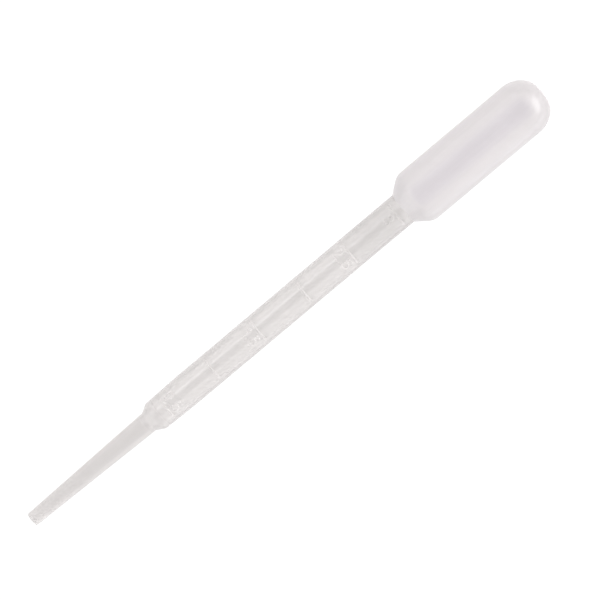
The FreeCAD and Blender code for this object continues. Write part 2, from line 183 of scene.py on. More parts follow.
def bulb_profile(stem_radius, bulb_radius, corner_lift, cone_lift):
    """The bulb from the stem's end to the crown, in parts: start, corner, round, end of the side, and dome.

    The lifts raise the corner and the top of the cone, which the inside needs to keep the wall even.
    """
    dome_rows = 41
    start = (stem_radius, SHOULDER_LOW.z)
    corner = (stem_radius, SHOULDER_LOW.z + corner_lift)
    rise = (BULB_RADIUS - STEM_RADIUS) / math.tan(BULB_CONE_ANGLE)
    top = (bulb_radius, SHOULDER_LOW.z + rise + cone_lift)
    side = (bulb_radius, DOME_CENTRE)
    turn = rounded_corner(corner, top, side, BULB_ROUND, steps=14)
    arc = [(bulb_radius * math.cos(a), DOME_CENTRE + bulb_radius * math.sin(a))
           for a in np.linspace(0, math.pi / 2, dome_rows)]
    return start, corner, turn, side, arc


# ---------------------------------------------------------------- raised marks


def circle_run(centre, radius, first, last, steps=10):
    """Places on an arc from one angle to another, in degrees."""
    angles = np.radians(np.linspace(first, last, steps + 1))
    return [(centre[0] + radius * math.cos(a), centre[1] + radius * math.sin(a)) for a in angles]


def numeral_strokes(numeral):
    """Pen strokes of one numeral, each a run of places, in a cell 1 high with its foot at 0."""
    if numeral == "0":
        upper = circle_run((0.24, 0.76), 0.24, 0, 180)
        lower = circle_run((0.24, 0.24), 0.24, 180, 360)
        return [upper + lower + upper[:1]]
    if numeral == "1":
        return [[(0.1, 0.76), (0.34, 1), (0.34, 0)]]
    if numeral == "2":
        return [circle_run((0.24, 0.75), 0.25, 175, -30) + [(0, 0), (0.5, 0)]]
    if numeral == "3":
        return [circle_run((0.23, 0.76), 0.24, 150, -90), circle_run((0.23, 0.26), 0.26, 90, -150)]
    if numeral == "5":
        return [[(0.46, 1), (0.08, 1)] + circle_run((0.21, 0.31), 0.31, 122, -145)]
    decimal_point = [(0.0, 0.0), (0.0, 0.001)]
    return [decimal_point]


# Steps from one numeral to the next and the gap in them, in shares of a numeral's height.
WIDE_STEP = 0.74
NARROW_STEPS = {"1": 0.62, ".": 0.26}
NUMERAL_GAP = 0.24


def number_segments(text, foot):
    """Every pen segment of a number on the stem, as rows of x1, z1, x2, z2, read with the bulb up."""
    steps = [NARROW_STEPS.get(letter, WIDE_STEP) * NUMERAL_HEIGHT for letter in text]
    cursor = -(sum(steps) - NUMERAL_GAP * NUMERAL_HEIGHT) / 2
    scale = NUMERAL_HEIGHT - NUMERAL_STROKE
    rows = []
    for letter, step in zip(text, steps):
        for stroke in numeral_strokes(letter):
            places = [(cursor + u * scale, foot + NUMERAL_STROKE / 2 + v * scale) for u, v in stroke]
            rows += [(*a, *b) for a, b in zip(places, places[1:])]
        cursor += step
    return np.array(rows)


def line_height(number):
    """Height of a graduation line; line 1 is the one nearest the tip."""
    return FIRST_LINE + (number - 1) * LINE_SPACING


BELOW_LINE = -LINE_WIDTH / 2 - NUMERAL_CLEARANCE - NUMERAL_HEIGHT
ABOVE_LINE = LINE_WIDTH / 2 + NUMERAL_CLEARANCE
# Each number, the line that it belongs to, and its foot's height from that line.
FRONT_NUMBERS = [("0.5", 1, ABOVE_LINE), ("1.5", 3, BELOW_LINE), ("2.5", 5, BELOW_LINE), ("3", 6, BELOW_LINE)]
BACK_NUMBERS = [("1", 2, BELOW_LINE), ("2", 4, BELOW_LINE), ("3", 6, BELOW_LINE)]
NUMERAL_REACH = math.radians(60)    # no number goes further round the stem from the middle of its face


def distance_to_segments(x, z, segments):
    """Distance of each place from the nearest of the segments."""
    nearest = np.full(x.shape, math.inf)
    for x1, z1, x2, z2 in segments:
        along_x, along_z = x2 - x1, z2 - z1
        share = ((x - x1) * along_x + (z - z1) * along_z) / (along_x ** 2 + along_z ** 2)
        share = np.clip(share, 0, 1)
        nearest = np.minimum(nearest, np.hypot(x - x1 - share * along_x, z - z1 - share * along_z))
    return nearest


def smooth(share):
    """A smooth rise from 0 to 1 as share goes from 0 to 1."""
    share = np.clip(share, 0, 1)
    return share * share * (3 - 2 * share)


def soft_step(inside):
    """0 outside a mark and 1 on it, with a smooth rise over SOFT_EDGE; inside is the depth into the mark."""
    return smooth(inside / SOFT_EDGE + 0.5)


def mark_relief(angle, x, z, front):
    """How far lines and numerals stand out of the stem; angle is measured from the middle of their face."""
    height = np.zeros(x.shape)
    on_face = smooth((LINE_HALF_ANGLE - np.abs(angle)) * STEM_RADIUS / RUN_OUT)
    for number in range(1, LINE_COUNT + 1):
        across_line = soft_step(LINE_WIDTH / 2 - np.abs(z - line_height(number)))
        height = np.maximum(height, on_face * across_line)
    for text, number, offset in (FRONT_NUMBERS if front else BACK_NUMBERS):
        foot = line_height(number) + offset
        near = (np.abs(z - foot - NUMERAL_HEIGHT / 2) < NUMERAL_HEIGHT) & (np.abs(angle) < NUMERAL_REACH)
        segments = number_segments(text, foot)
        raised = soft_step(NUMERAL_STROKE / 2 - distance_to_segments(x[near], z[near], segments))
        height[near] = np.maximum(height[near], raised)
    return height * MARK_RELIEF


def seam_relief(y):
    """How far the mould seam stands out at a distance y from the plane where the mould closes."""
    return SEAM_RELIEF * soft_step(SEAM_WIDTH / 2 - np.abs(y))


def plain_relief(base):
    """The seam alone, which fades out at the lip of the tip."""
    return seam_relief(base[..., 1]) * smooth(base[..., 2] / LIP_ROUND)


def wrapped(angle):
    """The same angle, between half a turn back and half a turn on."""
    return np.mod(angle + math.pi, 2 * math.pi) - math.pi


def stem_relief(base):
    """Lines, numerals and seam together, all round the stem."""
    x, y, z = base[..., 0], base[..., 1], base[..., 2]
    angle = np.arctan2(y, x)
    front = mark_relief(wrapped(angle + math.pi / 2), x, z, True)
    back = mark_relief(wrapped(angle - math.pi / 2), -x, z, False)
    return np.maximum(np.maximum(front, back), seam_relief(y))


# ---------------------------------------------------------------- shells


def profile_normals(profile):
    """Unit normals (radial, axial) of a profile that runs up the outside, pointing away from the axis."""
    points = np.array(profile)
    slope = np.gradient(points, axis=0)
    normals = np.stack([slope[:, 1], -slope[:, 0]], axis=1)
    return normals / np.linalg.norm(normals, axis=1, keepdims=True)


def turned_grid(profile, angles, relief=None, wave=None):
    """Points of a profile turned through angles (0 at +X, anticlockwise), pushed out along its normals."""
    points = np.array(profile)
    normals = profile_normals(profile)
    radius, height = points[:, 0][:, None], points[:, 1][:, None]
    cos, sin = np.cos(angles)[None, :], np.sin(angles)[None, :]
    base = np.stack([radius * cos, radius * sin, height + 0 * cos], axis=-1)
    outward = np.stack([normals[:, 0][:, None] * cos, normals[:, 0][:, None] * sin,
                        normals[:, 1][:, None] + 0 * cos], axis=-1)
    push = np.zeros(base.shape[:2])
    if relief is not None:
        push = push + relief(base)
    if wave is not None:
        push = push + wave(base)
    return base + outward * push[..., None]


def unevenness(places, scale, depth, seed):
    """A slow, seeded wave over the surface, as a blown wall has; one value per place."""
    shift = Vector((seed, 2 * seed, 3 * seed))
    return np.array([depth * noise.noise(Vector(p) / scale + shift) for p in places])


def wall_waves(low, high, seeds, calmer=(1, 1), margin=2 * MM):
    """The slow waves of a zone's outside and inside, which fade out at its ends, where neighbours meet."""
    def wave_of(scale, depth, seed):
        """A function that gives the push of one wave at every place of a grid."""
        def wave(base):
            z = base[..., 2]
            ends = smooth(np.minimum(z - low, high - z) / margin)
            return unevenness(base.reshape(-1, 3), scale, depth, seed).reshape(base.shape[:2]) * ends
        return wave
    return [wave_of(scale, depth / divisor, seed)
            for (scale, depth), divisor, seed in zip((OUTER_WAVE, INNER_WAVE), calmer, seeds)]


class ShellBuilder:
    """Collects grids of points into one mesh of quads, each with a material number."""

    def __init__(self):
        self.vertices, self.faces, self.materials, self.smooth = [], [], [], []

    def add_grid(self, grid):
        """Adds a rows by columns grid of points and returns the vertex numbers in the same layout."""
        rows, columns = grid.shape[:2]
        first = len(self.vertices)
        self.vertices += [tuple(p) for p in grid.reshape(-1, 3)]
        return np.arange(first, first + rows * columns).reshape(rows, columns)

    def cut(self, numbers, material, closed, flip=False):
        """A flat face across the wall, with its own points, so that the walls' shading stays smooth."""
        copies = self.add_grid(np.array([[self.vertices[n] for n in row] for row in numbers]))
        self.skin(copies, material, closed, flip, smooth=False)

    def skin(self, numbers, material, closed, flip=False, smooth=True):
        """Faces between neighbouring rows and columns of vertex numbers."""
        rows, columns = numbers.shape
        last = columns if closed else columns - 1
        for i in range(rows - 1):
            for j in range(last):
                k = (j + 1) % columns
                loop = [numbers[i, j], numbers[i, k], numbers[i + 1, k], numbers[i + 1, j]]
                loop = list(dict.fromkeys(int(n) for n in loop))
                if len(loop) < 3:
                    continue
                self.faces.append(loop[::-1] if flip else loop)
                self.materials.append(material)
                self.smooth.append(smooth)

    def build(self, name, materials):
        """The mesh as an object of the scene."""
        mesh = bpy.data.meshes.new(name)
        mesh.from_pydata(self.vertices, [], self.faces)
        mesh.polygons.foreach_set("material_index", self.materials)
        mesh.polygons.foreach_set("use_smooth", self.smooth)
        for material in materials:
            mesh.materials.append(material)
        mesh.update()
        piece = bpy.data.objects.new(name, mesh)
        bpy.context.scene.collection.objects.link(piece)
        return piece


OUTSIDE, INSIDE, HIDDEN = 0, 1, 2   # material numbers of a shell: its two faces, and the cuts between zones


def full_shell(name, outer, inner, angles, materials, end_materials, relief=None, waves=(None, None)):
    """A closed double-walled ring zone between two heights."""
    shell = ShellBuilder()
    outside = shell.add_grid(turned_grid(outer, angles, relief, waves[0]))
    inside = shell.add_grid(turned_grid(inner, angles, None, waves[1]))
    shell.skin(outside, OUTSIDE, True)
    shell.skin(inside, INSIDE, True, flip=True)
    for end, material, flip in ((0, end_materials[0], True), (-1, end_materials[1], False)):
        close = shell.cut if material == HIDDEN else shell.skin
        close(np.stack([outside[end], inside[end]]), material, True, flip)
    return shell.build(name, materials)


# Places beside the seam where its relief needs points, in half widths of the seam.
SEAM_PLACES = np.array([0.0, 0.3, 0.6, 0.9, 1.2, 1.6, 2.4, 4.0])


def seam_columns(radius):
    """Angles from the seam, close together across it."""
    return SEAM_PLACES * SEAM_WIDTH / 2 / radius


def thinned(values, closest):
    """The values in order, without those that come too close to the one before."""
    keep = []
    for value in np.sort(values):
        if not keep or value - keep[-1] > closest:
            keep.append(value)
    return keep


def tip_angles():
    """Angles round the tip and the step, closer together across the seam."""
    plain = np.linspace(0, 2 * math.pi, TIP_COLUMNS, endpoint=False)
    beside_seam = [seam_at + side * seam_columns(TIP_TOP_RADIUS)[1:]
                   for seam_at in (0, math.pi) for side in (-1, 1)]
    return np.sort(np.mod(np.concatenate([plain] + beside_seam), 2 * math.pi))


def stem_angles():
    """Angles round the stem, closer together across the seam and over the numerals."""
    plain = math.radians(3.6)
    fine = 0.075 * MM / STEM_RADIUS
    closest = 0.4 * fine
    front_half_width, back_half_width = math.radians(38), math.radians(13)
    seams = seam_columns(STEM_RADIUS)
    columns = list(np.arange(0, 2 * math.pi, plain))
    for seam_at in (0, math.pi):
        columns += list(seam_at + seams) + list(seam_at - seams)
    columns += list(np.arange(-front_half_width, front_half_width, fine) - math.pi / 2)
    columns += list(np.arange(-back_half_width, back_half_width, fine) + math.pi / 2)
    return np.array(thinned(np.mod(columns, 2 * math.pi), closest))


def stem_heights():
    """Heights of the stem's rows, closer together over the lines and the numerals."""
    plain, fine, margin, closest = 1.6 * MM, 0.085 * MM, 0.1 * MM, 0.03 * MM
    line_band = np.linspace(-0.36, 0.36, 17) * MM
    rows = list(np.arange(STEM_LOW.z, STEM_HIGH.z, plain)) + [STEM_HIGH.z, STEM_TRUE_FROM]
    for number in range(1, LINE_COUNT + 1):
        rows += list(line_height(number) + line_band)
    for _, number, offset in FRONT_NUMBERS + BACK_NUMBERS:
        foot = line_height(number) + offset
        rows += list(np.arange(foot - margin, foot + NUMERAL_HEIGHT + margin, fine))
    rows = thinned([row for row in rows if row <= STEM_HIGH.z], closest)
    rows[-1] = STEM_HIGH.z
    return rows


def stem_radius_at(height):
    """Outside radius of the stem, which widens a little over its foot."""
    share = min(1.0, (height - STEM_LOW.z) / (STEM_TRUE_FROM - STEM_LOW.z))
    return FOOT_RADIUS + (STEM_RADIUS - FOOT_RADIUS) * share


# ---------------------------------------------------------------- material nodes


def new_material(name):
    """A material with an empty node tree, and the tree."""
    material = bpy.data.materials.new(name)
    material.use_nodes = True
    material.node_tree.nodes.clear()
    return material, material.node_tree


def add_node(tree, kind, **values):
    """A node with properties set by name and inputs set by their label, its spaces as underscores."""
    made = tree.nodes.new(kind)
    for key, value in values.items():
        if hasattr(made, key):
            setattr(made, key, value)
        else:
            made.inputs[key.replace("_", " ")].default_value = value
    return made


def feed(tree, value, entry):
    """Gives an input its value, which is a socket or a number."""
    if isinstance(value, (int, float)):
        entry.default_value = value
    else:
        tree.links.new(value, entry)


def calculate(tree, operation, *values, clamp=False):
    """A Math node whose values are sockets or numbers. Returns its output."""
    made = add_node(tree, "ShaderNodeMath", operation=operation, use_clamp=clamp)
    for value, entry in zip(values, made.inputs):
        feed(tree, value, entry)
    return made.outputs[0]


def soft_ramp(tree, value, start, end, low, high):
    """A smooth change from low to high as a value goes from start to end. Returns the output."""
    ramp = add_node(tree, "ShaderNodeMapRange", interpolation_type="SMOOTHSTEP")
    tree.links.new(value, ramp.inputs["Value"])
    for label, number in (("From Min", start), ("From Max", end), ("To Min", low), ("To Max", high)):
        ramp.inputs[label].default_value = number
    return ramp.outputs[0]


def mixed(tree, factor, first, second):
    """One shader mixed with another by a factor, which is a socket or a number. Returns the output."""
    mix = add_node(tree, "ShaderNodeMixShader")
    feed(tree, factor, mix.inputs["Fac"])
    tree.links.new(first, mix.inputs[1])
    tree.links.new(second, mix.inputs[2])
    return mix.outputs[0]


def show_surface(tree, shader, kind="ShaderNodeOutputMaterial"):
    """Makes a shader the surface of its tree's material or world."""
    end = add_node(tree, kind)
    tree.links.new(shader, end.inputs["Surface"])


def streak_noise(tree, across, along, detail):
    """A noise that runs in long streaks up the axis; across and along are patterns per metre."""
    place = add_node(tree, "ShaderNodeTexCoord")
    stretch = add_node(tree, "ShaderNodeMapping")
    stretch.inputs["Scale"].default_value = (across, across, along)
    tree.links.new(place.outputs["Object"], stretch.inputs["Vector"])
    pattern = add_node(tree, "ShaderNodeTexNoise", Scale=1.0, Detail=detail)
    tree.links.new(stretch.outputs["Vector"], pattern.inputs["Vector"])
    return pattern.outputs["Fac"]


def colour_between(tree, factor, first, second):
    """A colour between two, by a factor."""
    mix = add_node(tree, "ShaderNodeMix", data_type="RGBA")
    colours = [socket for socket in mix.inputs if socket.type == "RGBA"]
    colours[0].default_value = (*first, 1)
    colours[1].default_value = (*second, 1)
    tree.links.new(factor, mix.inputs["Factor"])
    return next(socket for socket in mix.outputs if socket.type == "RGBA")


def varied(tree, value, pattern):
    """A number, made a little uneven by a pattern whose own mean is a half. Returns the output."""
    return calculate(tree, "MULTIPLY_ADD", pattern, 0.25 * value, 0.87 * value)


def bumped(tree, pattern, bump_size, share=1.0, below=None):
    """Normals that follow a share of a pattern's relief, on top of other normals. Returns the output."""
    strength, depth = bump_size
    bump = add_node(tree, "ShaderNodeBump", Strength=strength * share, Distance=depth)
    tree.links.new(pattern, bump.inputs["Height"])
    if below is not None:
        tree.links.new(below, bump.inputs["Normal"])
    return bump.outputs["Normal"]


def dimmed(tree, colour, share):
    """The colour times a share."""
    scaled = add_node(tree, "ShaderNodeVectorMath", operation="SCALE")
    tree.links.new(colour, scaled.inputs[0])
    tree.links.new(share, scaled.inputs["Scale"])
    return scaled.outputs[0]


def painted_shade_along(tree, colour, low, high, share):
    """The colour with a painted shade: darker by a share over a stretch of the axis, with soft ends."""
    margin = 3 * MM
    place = add_node(tree, "ShaderNodeTexCoord")
    split = add_node(tree, "ShaderNodeSeparateXYZ")
    tree.links.new(place.outputs["Object"], split.inputs[0])
    rise = soft_ramp(tree, split.outputs["Z"], low - margin, low + margin, 0.0, 1.0)
    fall = soft_ramp(tree, split.outputs["Z"], high + margin, high - margin, 0.0, 1.0)
    amount = calculate(tree, "MULTIPLY", calculate(tree, "MULTIPLY", rise, fall), share)
    return dimmed(tree, colour, calculate(tree, "SUBTRACT", 1.0, amount))


def facing_share(tree):
    """1 where the surface faces the eye and 0 at its outline."""
    geometry = add_node(tree, "ShaderNodeNewGeometry")
    facing = add_node(tree, "ShaderNodeVectorMath", operation="DOT_PRODUCT")
    tree.links.new(geometry.outputs["Normal"], facing.inputs[0])
    tree.links.new(geometry.outputs["Incoming"], facing.inputs[1])
    return calculate(tree, "ABSOLUTE", facing.outputs["Value"])


def outlined(tree, colour):
    """The colour with a painted shade: a little darker in a thin band at the outline, where the eye looks
    along the wall.
    """
    band, darkening = 0.3, 0.13
    return dimmed(tree, colour, soft_ramp(tree, facing_share(tree), 0.0, band, 1.0 - darkening, 1.0))


def shaded_when_square(tree, colour, slant, square, shade_colour):
    """The colour as it is where the wall is seen at a slant, and darker where it is seen squarely: a painted
    shade.
    """
    amount = soft_ramp(tree, facing_share(tree), slant, square, 0.0, 1.0)
    product = add_node(tree, "ShaderNodeVectorMath", operation="MULTIPLY")
    tree.links.new(colour, product.inputs[0])
    tree.links.new(colour_between(tree, amount, (1, 1, 1), shade_colour), product.inputs[1])
    return product.outputs[0]


# ---------------------------------------------------------------- plastics

PLASTIC_IOR = 1.51
CLEAR_TINT = (0.935, 0.925, 0.92)   # of the light that goes straight through one wall
MOST_MIRRORED = 0.75                # of the light, where the wall is seen edge-on

# Patterns in the plastic: how many to a metre across and along the axis, and their detail.
STREAKS = (900, 45, 3)
MOTTLE = (160, 90, 4)
GRAIN = (2600, 1300, 2)
RIPPLE = (260, 60, 3)
# How strongly a pattern's relief shows, and how deep it is.
MOTTLE_BUMP = (0.35, 0.12 * MM)
GRAIN_BUMP = (0.25, 0.01 * MM)
RIPPLE_BUMP = (0.4, 0.08 * MM)


def haze_factor(tree, depth):
    """How much of the light a cloudy wall scatters on the way through, more where it is met at a slant."""
    sine_squared = calculate(tree, "SUBTRACT", 1.0, calculate(tree, "POWER", facing_share(tree), 2.0))
    bent_sine_squared = calculate(tree, "DIVIDE", sine_squared, PLASTIC_IOR ** 2)
    bent_cosine = calculate(tree, "SQRT", calculate(tree, "SUBTRACT", 1.0, bent_sine_squared))
    path = calculate(tree, "DIVIDE", depth, bent_cosine)
    passed = calculate(tree, "EXPONENT", calculate(tree, "MULTIPLY", path, -1.0))
    return calculate(tree, "SUBTRACT", 1.0, passed, clamp=True)


def polyethylene(name, depth, pale, dark, roughness, forward, painted_square_shade, grain, painted_shade_stretch=None):
    """Cloudy natural polyethylene: some light goes straight through, the rest scatters, and the skin shines.

    depth is the wall's cloudiness, pale and dark are its two scatter colours, and forward is the share that
    scatters onwards. The square shade argument is a painted shade: it darkens the wall where the eye looks
    straight into the dim hollow behind it.
    grain is how strongly the fine grain and the slow mottle of the skin show.
    """
    material, tree = new_material(name)
    mottle = streak_noise(tree, *MOTTLE)
    # Painted shade: the mottled colour is darkened in a thin band at the outline.
    colour = outlined(tree, colour_between(tree, mottle, dark, pale))
    # Painted shade: darker where the eye looks straight through the wall into the dim hollow behind it.
    colour = shaded_when_square(tree, colour, *painted_square_shade)
    # Painted shade: a darker stretch of the stem, where one is given.
    if painted_shade_stretch:
        colour = painted_shade_along(tree, colour, *painted_shade_stretch)
    haze = haze_factor(tree, varied(tree, depth, streak_noise(tree, *STREAKS)))
    fine = bumped(tree, streak_noise(tree, *GRAIN), GRAIN_BUMP, grain)
    skin = bumped(tree, mottle, MOTTLE_BUMP, grain, fine)
    worn = varied(tree, roughness, mottle)

    body = add_node(tree, "ShaderNodeBsdfPrincipled", Specular_IOR_Level=0.0)
    tree.links.new(colour, body.inputs["Base Color"])
    tree.links.new(worn, body.inputs["Roughness"])
    tree.links.new(skin, body.inputs["Normal"])
    through = add_node(tree, "ShaderNodeBsdfTranslucent")
    tree.links.new(colour, through.inputs["Color"])
    scatter = mixed(tree, forward, body.outputs[0], through.outputs[0])

    clear = add_node(tree, "ShaderNodeBsdfTransparent", Color=(*CLEAR_TINT, 1))
    veil = mixed(tree, haze, clear.outputs[0], scatter)

    shine = add_node(tree, "ShaderNodeBsdfGlossy")
    tree.links.new(worn, shine.inputs["Roughness"])
    tree.links.new(skin, shine.inputs["Normal"])
    mirror = add_node(tree, "ShaderNodeFresnel", IOR=PLASTIC_IOR)
    tree.links.new(skin, mirror.inputs["Normal"])
    mirrored = calculate(tree, "MINIMUM", mirror.outputs[0], MOST_MIRRORED)
    show_surface(tree, mixed(tree, mirrored, veil, shine.outputs[0]))
    return material


def inner_wall(name, roughness, strength):
    """The inside face of the wall: clear, with a soft sheen of its own."""
    material, tree = new_material(name)
    clear = add_node(tree, "ShaderNodeBsdfTransparent")
    shine = add_node(tree, "ShaderNodeBsdfGlossy", Roughness=roughness)
    rippled = bumped(tree, streak_noise(tree, *RIPPLE), RIPPLE_BUMP)
    tree.links.new(rippled, shine.inputs["Normal"])
    show_surface(tree, mixed(tree, strength, clear.outputs[0], shine.outputs[0]))
    return material


def unseen(name):
    """Where one zone of the moulding runs on into the next there is no surface, so the cut can't be seen."""
    material, tree = new_material(name)
    show_surface(tree, add_node(tree, "ShaderNodeBsdfTransparent").outputs[0])
    return material


# Painted shade: from the fifth line to the top one the stem is painted a little darker: where from, where to,
# and by what share.
SHADED_STRETCH = (LINES_HIGH.z - LINE_SPACING + 1.5 * MM, LINES_HIGH.z, 0.07)
# Painted shade where the wall is seen squarely, a little bluish on the bulb: the facing share where it starts
# and where it is full, and the colour it multiplies by.
STEM_SQUARE_SHADE = (0.7, 0.86, (0.95, 0.95, 0.95))
BULB_SQUARE_SHADE = (0.86, 1.0, (0.945, 0.938, 0.968))

STEM_PLASTIC = polyethylene(
    "clear_polyethylene", depth=0.78, pale=(0.975, 0.95, 0.945), dark=(0.905, 0.882, 0.874),
    roughness=0.16, forward=0.5, painted_square_shade=STEM_SQUARE_SHADE, grain=1.0, painted_shade_stretch=SHADED_STRETCH)
TIP_PLASTIC = polyethylene(
    "drawn_polyethylene", depth=1.5, pale=(0.915, 0.892, 0.886), dark=(0.865, 0.843, 0.836),
    roughness=0.44, forward=0.5, painted_square_shade=STEM_SQUARE_SHADE, grain=0.3)
STEP_PLASTIC = polyethylene(
    "step_polyethylene", depth=1.1, pale=(0.945, 0.92, 0.915), dark=(0.885, 0.862, 0.855),
    roughness=0.34, forward=0.5, painted_square_shade=STEM_SQUARE_SHADE, grain=0.6)
BULB_PLASTIC = polyethylene(
    "milky_polyethylene", depth=1.15, pale=(0.95, 0.92, 0.93), dark=(0.885, 0.857, 0.87),
    roughness=0.34, forward=0.35, painted_square_shade=BULB_SQUARE_SHADE, grain=1.0)
STEM_INSIDE = inner_wall("clear_polyethylene_inside", roughness=0.18, strength=0.1)
TIP_INSIDE = inner_wall("drawn_polyethylene_inside", roughness=0.3, strength=0.03)
BULB_INSIDE = inner_wall("milky_polyethylene_inside", roughness=0.3, strength=0.04)
NO_SURFACE = unseen("continuous_wall")
TIP_MATERIALS = [TIP_PLASTIC, TIP_INSIDE, NO_SURFACE]
STEP_MATERIALS = [STEP_PLASTIC, TIP_INSIDE, NO_SURFACE]
STEM_MATERIALS = [STEM_PLASTIC, STEM_INSIDE, NO_SURFACE]
BULB_MATERIALS = [BULB_PLASTIC, BULB_INSIDE, NO_SURFACE]

# ---------------------------------------------------------------- tip, step and stem

STEM_SEEDS = (1.3, 2.1)             # of the waves on the outside and on the inside
BULB_SEEDS = (3.7, 4.9)


def make_tip():
    """The long tapered tip, open at its end; its walls wave less than the stem's."""
    outer, inner = tip_profiles()
    waves = wall_waves(TIP_LOW.z, TIP_HIGH.z, STEM_SEEDS, calmer=(2, 3))
    return full_shell("tip", outer, inner, tip_angles(), TIP_MATERIALS, (OUTSIDE, HIDDEN), plain_relief,
                      waves)


def make_step():
    """The rounded step from the tip up to the stem."""
    outer = step_profile(TIP_TOP_RADIUS, FOOT_RADIUS)
    inner = step_profile(TIP_TOP_BORE_RADIUS, FOOT_BORE_RADIUS)
    return full_shell("step", outer, inner, tip_angles(), STEP_MATERIALS, (HIDDEN, HIDDEN), plain_relief)


def make_stem():
    """The graduated stem."""
    outer = [(stem_radius_at(z), z) for z in stem_heights()]
    foot, true_from, end = ((FOOT_BORE_RADIUS, STEM_LOW.z), (STEM_BORE_RADIUS, STEM_TRUE_FROM),
                            (STEM_BORE_RADIUS, STEM_HIGH.z))
    inner = joined(straight(foot, true_from, PLAIN_ROW), straight(true_from, end, PLAIN_ROW))
    waves = wall_waves(STEM_LOW.z, STEM_HIGH.z, STEM_SEEDS)
    return full_shell("stem", outer, inner, stem_angles(), STEM_MATERIALS, (HIDDEN, HIDDEN), stem_relief,
                      waves)


# ---------------------------------------------------------------- bulb


def paired_bulb_profiles():
    """Outside and inside of the bulb, row by row, so that the cut walls can be closed."""
    cone_rows, side_rows = 9, 30
    hair = 0.02 * MM
    corner_lift, cone_lift = 0.1 * MM, 0.25 * MM
    outside = bulb_profile(STEM_RADIUS, BULB_RADIUS, 0.0, 0.0)
    inside = bulb_profile(STEM_BORE_RADIUS, BULB_RADIUS - BULB_WALL, corner_lift, cone_lift)
    profiles = []
    for start, corner, turn, side, arc in (outside, inside):
        # The outside's corner is its start, so its cone begins a hair further on.
        first = corner if corner[1] > start[1] else (start[0] + hair, start[1] + hair)
        cone = spread(first, turn[0], cone_rows)[:-1]
        wall = spread((side[0], turn[-1][1]), side, side_rows)[1:-1]
        profiles.append([start] + cone + turn + wall + arc)
    return profiles


def drop_loose_points(mesh):
    """Removes points that no face uses, which the shared crown point leaves behind."""
    work = bmesh.new()
    work.from_mesh(mesh)
    bmesh.ops.delete(work, geom=[v for v in work.verts if not v.link_faces], context="VERTS")
    work.to_mesh(mesh)
    work.free()


def make_bulb_half(name, facing):
    """Half of the bulb, front (facing -1) or back (facing 1), from one side's seam to the other's."""
    seams = seam_columns(BULB_RADIUS)
    plain = np.linspace(seams[-1], math.pi - seams[-1], BULB_COLUMNS)[1:-1]
    angles = np.concatenate([seams, plain, math.pi - seams[::-1]])
    if facing < 0:
        angles = -angles[::-1]
    waves = wall_waves(SHOULDER_LOW.z, TOP, BULB_SEEDS, margin=3 * MM)
    shell = ShellBuilder()
    grids = []
    for profile, relief, wave in zip(paired_bulb_profiles(), (plain_relief, None), waves):
        numbers = shell.add_grid(turned_grid(profile, angles, relief, wave))
        numbers[-1, :] = numbers[-1, 0]
        grids.append(numbers)
    outside, inside = grids
    shell.skin(outside, OUTSIDE, False)
    shell.skin(inside, INSIDE, False, flip=True)
    shell.cut(np.stack([outside[0], inside[0]]), HIDDEN, False, flip=True)
    shell.cut(np.stack([outside[:, 0], inside[:, 0]]), HIDDEN, False)
    shell.cut(np.stack([outside[:, -1], inside[:, -1]]), HIDDEN, False, flip=True)
    half = shell.build(name, BULB_MATERIALS)
    drop_loose_points(half.data)
    blend_with_wall(half)
    return half


def blend_with_wall(half):
    """Bakes the half's place in the scene into its points."""
    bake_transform(half)


tip = make_tip()
step = make_step()
stem = make_stem()
bulb_front = make_bulb_half("bulb_front_half", -1)
bulb_back = make_bulb_half("bulb_back_half", 1)

for piece, nodes in ((tip, ["dispensing_tip"]), (step, ["step_shoulder"]),
                     (stem, ["stem_tube", "graduation_lines", "graduation_numerals", "mould_seam"])):
    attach(piece, "root")
    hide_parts(*nodes)
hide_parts("bulb_front_wall", "bulb_right_wall", "bulb_shoulder", "bulb_dome")
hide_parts("bulb_back_wall", "bulb_left_wall", "bulb_shoulder", "bulb_dome")

# ---------------------------------------------------------------- studio

BACKDROP = 1.08                     # brightness of the white that the eye sees round the pipette
WARM_WHITE = (1.0, 0.985, 0.98)
FLOOR_LIGHT = 0.95                  # what the floor sends back to the plastic
FLOOR_HALF_WIDTH = 4.0
FLOOR_LEVEL = -0.3 * MM

# How the light changes with one coordinate of its direction: where the change starts and ends, and the
# light before and after it.
ROOM_SIDEWAYS = (-0.6, 1.0, 1.02, 1.12)
ROOM_FROM_CAMERA = (-1.0, 0.1, 0.56, 1.0)
ROOM_OVERHEAD = (0.2, 1.0, 1.0, 1.8)
DARK_CAMERA_SIDE = (-0.97, -0.8, 0.0, 1.0)
MIRRORED_ROOM = 1.05


